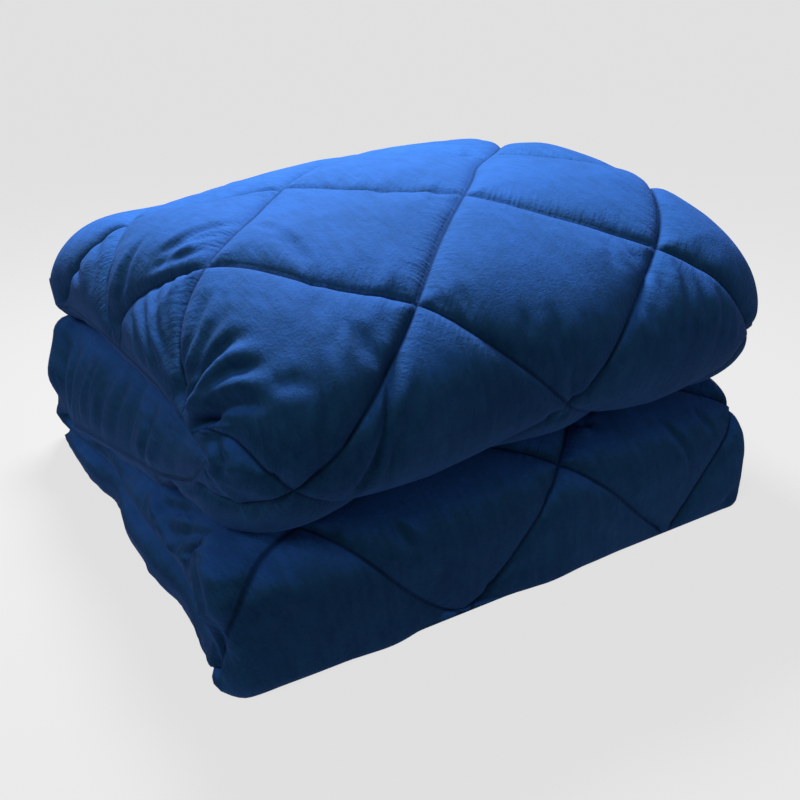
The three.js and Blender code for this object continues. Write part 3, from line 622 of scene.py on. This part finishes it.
def place_cloth(sheet, tier_of_row, outward):
    """The face's points after quilting: moved out of the bare face, and sideways within it."""
    at = sheet["at"].copy()
    rows, columns = at.shape[:2]
    n = normals(at, outward)
    side = np.gradient(at, axis=1)
    side /= np.maximum(np.linalg.norm(side, axis=2, keepdims=True), 1e-9)
    down = np.cross(n, side)
    u, v = sheet["across"], sheet["along"]
    x, y, z = at[..., 0], at[..., 1], at[..., 2]
    to_end = np.minimum(x - FRONT_LEFT, FRONT_RIGHT - x)
    height = np.zeros((rows, columns))
    move_u, move_v = (WANDER * unevenness(u, v, WANDER_SIZE, seed) for seed in WANDER_SEEDS)
    past = lambda length, limit: ease((length - PRESSED[limit]) / PRESSED["fade"])
    for tier in sorted(set(tier_of_row)):
        own = np.array([name == tier for name in tier_of_row])
        if tier == "upper":
            hidden = np.where(n[own][..., 2] < FACING_DOWN, past(y[own], "under_fold"), 0)
        else:
            hidden = past(y[own], "front") * past(to_end[own], "ends")
        height[own] = quilt_height(u[own], v[own], tier, 1 - hidden)
        for name, across, along, by_u, by_v in PULLS:
            if name == tier:
                near = np.exp(-((u[own] - across) ** 2 + (v[own] - along) ** 2) / PULL_REACH ** 2)
                move_u[own] += by_u * near
                move_v[own] += by_v * near
    border = np.minimum(np.arange(rows)[:, None], np.arange(rows)[::-1][:, None])
    border = np.minimum(border, np.minimum(np.arange(columns), np.arange(columns)[::-1])[None])
    loose = ease(border / EDGE_ROWS) * ease((z - FLOOR_CONTACT) / FLOOR_FADE)
    # The cross product may point up the rows, and the sign turns it down them
    sign = np.sign((down * np.gradient(sheet["at"], axis=0)).sum(2, keepdims=True))
    moved = n * height[..., None] + side * move_u[..., None] + down * sign * move_v[..., None]
    at += loose[..., None] * moved
    at[..., 2] = np.maximum(0, at[..., 2])
    return at


def bridge(ids_a, places_a, ids_b, places_b, flip):
    """Strip of triangles between two rows of points that are spaced differently."""
    out, i, j = [], 0, 0
    put = lambda a, b, c: out.append((a, c, b) if flip else (a, b, c))
    while i < len(ids_a) - 1 or j < len(ids_b) - 1:
        next_a = (places_a[i] + places_a[i + 1]) / 2 if i < len(ids_a) - 1 else np.inf
        next_b = (places_b[j] + places_b[j + 1]) / 2 if j < len(ids_b) - 1 else np.inf
        if next_a <= next_b:
            put(ids_a[i], ids_a[i + 1], ids_b[j])
            i += 1
        else:
            put(ids_a[i], ids_b[j + 1], ids_b[j])
            j += 1
    return out


def cells(ids, sheet, inward):
    """Two triangles for each cell, cut along the way that the stitching crosses it."""
    a, b, c, d = ids[:-1, :-1], ids[1:, :-1], ids[1:, 1:], ids[:-1, 1:]
    u = (sheet["across"][:-1, :-1] + sheet["across"][1:, 1:]) / 2
    v = (sheet["along"][:-1, :-1] + sheet["along"][1:, 1:]) / 2
    forward = (abs(off_line(u, v, -1)) < abs(off_line(u, v, 1)))[..., None, None]
    one = np.stack([np.stack([a, b, c], -1), np.stack([a, c, d], -1)], -2)
    two = np.stack([np.stack([a, b, d], -1), np.stack([b, c, d], -1)], -2)
    faces = np.where(forward, one, two).reshape(-1, 3)
    return faces[:, ::-1] if inward else faces


def tier_names(face, places):
    """The tier of each row, which says how it is quilted and which creases and pulls are its own."""
    if face == "outer":
        return ["upper" if at < INSIDE_FROM else "inside" if at < LOWER_FROM else "lower" for at in places]
    return ["end" if END_FROM < at < END_TO else "inside" if at < END_TO else "under" for at in places]


def build_quilt():
    outer_rows = cloth_rows(middle_section["outer"], OUTER_STEP, OUTER_ROWS, [5])
    inner_rows = cloth_rows(middle_section["inner"], INNER_STEP, INNER_ROWS, [2, 8])
    outer = lay_out("outer", outer_rows, OUTER_STEP, 20)
    inner = lay_out("inner", inner_rows, INNER_STEP, 14)
    outer_tiers = tier_names("outer", outer["place"])
    inner_tiers = tier_names("inner", inner["place"])
    outer_at = place_cloth(outer, outer_tiers, -1)
    inner_at = place_cloth(inner, inner_tiers, 1)
    rows_o, cols_o = outer_at.shape[:2]
    outer_ids = np.arange(rows_o * cols_o).reshape(rows_o, cols_o)
    trimmed = {key: inner[key][1:-1, 1:-1] for key in ("across", "along")}
    rows_i, cols_i = inner_at.shape[0] - 2, inner_at.shape[1] - 2
    inner_ids = rows_o * cols_o + np.arange(rows_i * cols_i).reshape(rows_i, cols_i)
    points = np.concatenate([outer_at.reshape(-1, 3), inner_at[1:-1, 1:-1].reshape(-1, 3)])
    cloth = [np.concatenate([outer[key].ravel(), trimmed[key].ravel()]) for key in ("across", "along")]
    hidden = []
    for sheet, tiers in ((outer, outer_tiers), (trimmed, inner_tiers[1:-1])):
        for across, along, tier in zip(sheet["across"], sheet["along"], tiers):
            hidden.append(PLAIN_AWAY * plain_end(across, along, tier))
    cloth.append(np.concatenate(hidden))
    faces = [cells(outer_ids, outer, False), cells(inner_ids, trimmed, True)]
    places_i = inner["place"][1:-1]
    even = lambda count: np.linspace(0, 1, count)
    faces.append(bridge(outer_ids[:, 0], outer["place"], inner_ids[:, 0], places_i, True))
    faces.append(bridge(outer_ids[:, -1], outer["place"], inner_ids[:, -1], places_i, False))
    faces.append(bridge(outer_ids[0], even(cols_o), inner_ids[0], even(cols_i), False))
    faces.append(bridge(outer_ids[-1], even(cols_o), inner_ids[-1], even(cols_i), True))
    faces = np.concatenate([np.array(f) for f in faces])
    bare = points.copy()
    for x, y, z, *move, reach in MOVES:
        near = np.exp(-((bare - (x, y, z)) ** 2).sum(1) / reach ** 2)
        points += near[:, None] * np.array(move)
    points[:, 2] = np.where(bare[:, 2] < FLOOR_CONTACT, bare[:, 2], np.maximum(points[:, 2], 0))
    points[:, 0] -= PACK_CENTRE[0]
    points[:, 1] -= PACK_CENTRE[1]
    mesh = bpy.data.meshes.new("quilt_cloth")
    mesh.from_pydata((points / 1000).tolist(), [], faces.tolist())
    mesh.polygons.foreach_set("use_smooth", [True] * len(mesh.polygons))
    # For the material: length across, length along, and what is added to the distance to the stitching
    layer = mesh.attributes.new("cloth", "FLOAT_VECTOR", "POINT")
    layer.data.foreach_set("vector", np.stack(cloth, 1).astype(np.float32).ravel())
    mesh.update()
    quilt = bpy.data.objects.new("quilt_cloth", mesh)
    bpy.context.collection.objects.link(quilt)
    return quilt


def linear(hex_colour):
    """sRGB hex to the linear colour that the shader wants."""
    values = [int(hex_colour[k:k + 2], 16) / 255 for k in (1, 3, 5)]
    return tuple(v / 12.92 if v <= 0.04045 else ((v + 0.055) / 1.055) ** 2.4 for v in values) + (1.0,)


def add_node(tree, kind, options=(), **links):
    """Adds a node, sets its own options, then sets or links its inputs by name, or n0, n1... by number."""
    node = tree.nodes.new(kind)
    for name, value in dict(options).items():
        setattr(node, name, value)
    for name, value in links.items():
        socket = node.inputs[int(name[1:])] if name[0] == "n" and name[1:].isdigit() else node.inputs[name]
        if isinstance(value, bpy.types.NodeSocket):
            tree.links.new(value, socket)
        else:
            socket.default_value = value
    return node


# Short-pile polyester plush: a knitted cloth whose loops are cut and brushed up into a dense pile,
# dyed navy. To the eye it is matt and deep with next to no highlight, and marked wherever a hand has
# stroked it. Its colours run from nearly black green to royal blue. Level faces are painted royal
# blue, as if lit from above, and upright ones get a painted shade of nearly black green.
PILE_AND_PAINTED_LIGHT_COLOURS = ((0.28, "#04192c"), (0.46, "#0e2a42"), (0.70, "#1a3f76"))
PILE_SHEEN = "#5384f5"

# Sizes of its patterns in mm. A gather is a small fold beside the stitching, and fades away from it.
# Patches are where the pile lies one way or another, streaks are what a hand or a brush leaves, and
# ruffles are small marks. Tufts are really under 1 mm wide and are drawn coarser to show.
GATHER_WIDTH, GATHER_LENGTH, GATHER_REACH, GATHER_HEIGHT = 5.0, 34.0, 40.0, 1.4
STREAK_WIDTH, STREAK_LENGTH = 7.0, 42.0
PATCH_WIDTH, RUFFLE_WIDTH, TUFT_WIDTH = 111.0, 16.7, 2.38
# Painted shade along the stitching: darkest within a half width in mm, gone by the edge, and the share of
# colour left where darkest
SEAM_HALF_WIDTH, SEAM_EDGE, SEAM_PAINTED_SHADE = 0.5, 3.0, 0.35

# Painted light: the more level the cloth lies, the lighter royal blue it is painted, as if lit from
# above. How level it must lie before the paint starts (0 upright, 1 level), and how much at most
PAINTED_LIGHT_FROM, PAINTED_TOP_LIGHT = 0.2, 0.30


def plush_material():
    material = bpy.data.materials.new("navy_plush_cloth")
    material.use_nodes = True
    tree = material.node_tree
    tree.nodes.clear()
    math, vectors, soft = "ShaderNodeMath", "ShaderNodeVectorMath", {"interpolation_type": "SMOOTHSTEP"}

    # Lengths across and along the cloth in mm, laid down with the mesh, turned to the lines of stitching
    flat = add_node(tree, "ShaderNodeAttribute", {"attribute_name": "cloth"})
    spacing = 2 * DIAMOND_HALF * float(np.sqrt(0.5))
    start = 0.5 - CROSSING_X / (2 * DIAMOND_HALF)
    hidden = add_node(tree, "ShaderNodeSeparateXYZ", Vector=flat.outputs["Vector"])
    turned = add_node(tree, "ShaderNodeMapping", Vector=flat.outputs["Vector"], Location=(start, start, 0),
                      Rotation=(0, 0, np.radians(45)), Scale=(1 / spacing,) * 3)
    part = add_node(tree, vectors, {"operation": "FRACTION"}, n0=turned.outputs[0])
    part = add_node(tree, vectors, {"operation": "SUBTRACT"}, n0=part.outputs[0], n1=(0.5, 0.5, 0.5))
    part = add_node(tree, vectors, {"operation": "ABSOLUTE"}, n0=part.outputs[0])
    away = add_node(tree, vectors, {"operation": "SCALE"}, n0=part.outputs[0], Scale=spacing)
    away = add_node(tree, vectors, {"operation": "ADD"}, n0=away.outputs[0], n1=hidden.outputs["Z"])
    away = add_node(tree, "ShaderNodeSeparateXYZ", Vector=away.outputs[0])
    lines = add_node(tree, "ShaderNodeSeparateXYZ", Vector=turned.outputs[0])
    near = add_node(tree, math, {"operation": "MINIMUM"}, n0=away.outputs["X"], n1=away.outputs["Y"])

    # Gathers run off square from each line of stitching, heights in mm
    height = None
    for side, along in (("X", "Y"), ("Y", "X")):
        step = add_node(tree, math, {"operation": "MULTIPLY"}, n0=lines.outputs[along],
                        n1=spacing / GATHER_WIDTH)
        out = add_node(tree, math, {"operation": "MULTIPLY"}, n0=away.outputs[side], n1=1 / GATHER_LENGTH)
        step = add_node(tree, "ShaderNodeCombineXYZ", X=step.outputs[0], Y=out.outputs[0])
        fold = add_node(tree, "ShaderNodeTexNoise", Vector=step.outputs[0], Scale=1.0, Detail=1.0)
        fade = add_node(tree, "ShaderNodeMapRange", soft, n0=away.outputs[side],
                        **{"From Min": 0.0, "From Max": GATHER_REACH, "To Min": GATHER_HEIGHT, "To Max": 0.0})
        fold = add_node(tree, math, {"operation": "MULTIPLY"}, n0=fold.outputs["Fac"], n1=fade.outputs[0])
        if height is not None:
            fold = add_node(tree, math, {"operation": "ADD"}, n0=fold.outputs[0], n1=height.outputs[0])
        height = fold

    # The pile: each pattern's place, width, detail and roughness, its share in the colour, its height
    metres = add_node(tree, "ShaderNodeTexCoord").outputs["Object"]
    place = add_node(tree, vectors, {"operation": "SCALE"}, n0=metres, Scale=1000.0).outputs[0]
    streaks = add_node(tree, vectors, {"operation": "MULTIPLY"}, n0=flat.outputs["Vector"],
                       n1=(1 / STREAK_WIDTH, 1 / STREAK_LENGTH, 1.0)).outputs[0]
    shade = None
    for source, width, detail, rough, colour_share, relief in (
            (place, PATCH_WIDTH, 3.0, 0.55, 0.22, 0.0),
            (streaks, 1.0, 3.0, 0.6, 0.18, 1.0),
            (place, RUFFLE_WIDTH, 4.0, 0.65, 0.18, 1.2),
            (place, TUFT_WIDTH, 3.0, 0.7, 0.14, 0.8)):
        pile = add_node(tree, "ShaderNodeTexNoise", Vector=source, Scale=1 / width, Detail=detail,
                        Roughness=rough)
        height = add_node(tree, math, {"operation": "MULTIPLY_ADD"}, n0=pile.outputs["Fac"], n1=relief,
                          n2=height.outputs[0])
        shade = add_node(tree, math, {"operation": "MULTIPLY_ADD"}, n0=pile.outputs["Fac"], n1=colour_share,
                         n2=shade.outputs[0] if shade else 0.0)

    # Painted light and shade: level faces on the top are painted a lighter royal blue, as if lit from above,
    # and upright faces on the sides a deeper, greener blue, as if in shade.
    painted_top_light = add_node(tree, "ShaderNodeNewGeometry")
    painted_top_light = add_node(tree, "ShaderNodeSeparateXYZ", Vector=painted_top_light.outputs["Normal"])
    painted_top_light = add_node(tree, "ShaderNodeMapRange", soft, n0=painted_top_light.outputs["Z"],
                      **{"From Min": PAINTED_LIGHT_FROM, "From Max": 1.0, "To Min": 0.0, "To Max": PAINTED_TOP_LIGHT})
    shade = add_node(tree, math, {"operation": "ADD"}, n0=shade.outputs[0], n1=painted_top_light.outputs[0])
    ramp = add_node(tree, "ShaderNodeValToRGB", Fac=shade.outputs[0])
    stops = ramp.color_ramp.elements
    stops.new(0.5)
    for stop, (at, hex_colour) in zip(stops, PILE_AND_PAINTED_LIGHT_COLOURS):
        stop.position, stop.color = at, linear(hex_colour)

    # Painted shade: the colour is darkened along the line of stitching, where it lies deep in its groove
    seam_painted_shade = add_node(tree, "ShaderNodeMapRange", soft, n0=near.outputs[0],
                    **{"From Min": SEAM_HALF_WIDTH, "From Max": SEAM_EDGE, "To Min": SEAM_PAINTED_SHADE,
                       "To Max": 1.0})
    colour = add_node(tree, vectors, {"operation": "SCALE"}, n0=ramp.outputs["Color"],
                      Scale=seam_painted_shade.outputs[0])

    # The heights are in mm and the scene is in metres
    bump = add_node(tree, "ShaderNodeBump", Strength=1.0, Distance=0.001, Height=height.outputs[0])
    shader = add_node(tree, "ShaderNodeBsdfPrincipled", Normal=bump.outputs["Normal"],
                      **{"Base Color": colour.outputs[0], "Roughness": 0.85, "Specular IOR Level": 0.02,
                         "Sheen Weight": 0.15, "Sheen Roughness": 0.6, "Sheen Tint": linear(PILE_SHEEN)})
    add_node(tree, "ShaderNodeOutputMaterial", Surface=shader.outputs["BSDF"])
    return material


quilt = build_quilt()
quilt.data.materials.append(plush_material())
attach(quilt, "root")
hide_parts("quilt")


# The floor: a plain, matt, pale studio floor, 120 m each way, that runs past the edge of the picture.
# It glows a little by itself, so that the quilt's shadow on it stays soft and light.
FLOOR_HALF = 60.0
floor_mesh = bpy.data.meshes.new("studio_floor")
corners = [(x * FLOOR_HALF, y * FLOOR_HALF, 0) for x, y in ((-1, -1), (1, -1), (1, 1), (-1, 1))]
floor_mesh.from_pydata(corners, [], [(0, 1, 2, 3)])
floor = bpy.data.objects.new("studio_floor", floor_mesh)
bpy.context.collection.objects.link(floor)
floor_paint = bpy.data.materials.new("pale_floor")
floor_paint.use_nodes = True
paint = floor_paint.node_tree.nodes["Principled BSDF"].inputs
paint["Base Color"].default_value = linear("#3f3f3f")
paint["Emission Color"].default_value = linear("#ffffff")
paint["Emission Strength"].default_value = 0.72
paint["Roughness"].default_value = 1.0
paint["Specular IOR Level"].default_value = 0.0
floor_mesh.materials.append(floor_paint)


# The light: a soft round lamp, 0.3 m wide and 1.1 m up, just behind the quilt and aimed at its middle.
# It makes the top bright and leaves the front faces, which the viewer sees, in half shade.
lamp = bpy.data.lights.new("overhead", "AREA")
lamp.shape = "DISK"
lamp.size = 0.3
lamp.energy = 41
lamp_object = bpy.data.objects.new("overhead", lamp)
lamp_object.location = (0.03, 0.40, 1.10)
lamp_object.rotation_mode = "QUATERNION"
lamp_object.rotation_quaternion = (Vector((0, 0, 0.25)) - lamp_object.location).to_track_quat("-Z", "Y")
bpy.context.collection.objects.link(lamp_object)

# A weak, soft light from the front left and high up, which picks out the puffs and creases of the front
front = bpy.data.lights.new("front", "SUN")
front.energy = 1.5
front.angle = 0.35
front_object = bpy.data.objects.new("front", front)
front_object.rotation_mode = "QUATERNION"
front_object.rotation_quaternion = Vector((0.8, 0.35, -0.9)).to_track_quat("-Z", "Y")
bpy.context.collection.objects.link(front_object)

# The surround: pale white up to 17 degrees above the horizon, and dim from 30 degrees up
world = bpy.data.worlds.new("pale_surround")
world.use_nodes = True
sky = world.node_tree
sky.nodes.clear()
around = add_node(sky, "ShaderNodeTexCoord")
height = add_node(sky, "ShaderNodeSeparateXYZ", Vector=around.outputs["Generated"])
light = add_node(sky, "ShaderNodeMapRange", Value=height.outputs["Z"],
                 **{"From Min": 0.30, "From Max": 0.50, "To Min": 0.72, "To Max": 0.10})
back = add_node(sky, "ShaderNodeBackground", Color=linear("#fafeff"), Strength=light.outputs[0])
add_node(sky, "ShaderNodeOutputWorld", Surface=back.outputs[0])
bpy.context.scene.world = world


# The camera: placed and aimed as in the photograph, whose width and focal length are in pixels. Its
# place is in metres from the pack's front left corner.
PHOTO_WIDTH, FOCAL_LENGTH = 800, 947
CAMERA_AT = (-0.216, -0.577, 0.54)
camera_data = bpy.data.cameras.new("camera")
camera_data.sensor_width = 36.0
camera_data.lens = FOCAL_LENGTH / PHOTO_WIDTH * camera_data.sensor_width
camera = bpy.data.objects.new("camera", camera_data)
bpy.context.collection.objects.link(camera)
turn, tilt = np.radians(-32.0), np.radians(24.4)
ahead = Vector((-np.sin(turn) * np.cos(tilt), np.cos(turn) * np.cos(tilt), -np.sin(tilt)))
camera.rotation_mode = "QUATERNION"
camera.rotation_quaternion = ahead.to_track_quat("-Z", "Y")
camera.location = Vector(CAMERA_AT) - Vector((*PACK_CENTRE, 0)) / 1000
camera_data.clip_end = 200.0
bpy.context.scene.camera = camera
bpy.context.scene.view_settings.view_transform = "Standard"
bpy.context.scene.view_settings.look = "None"
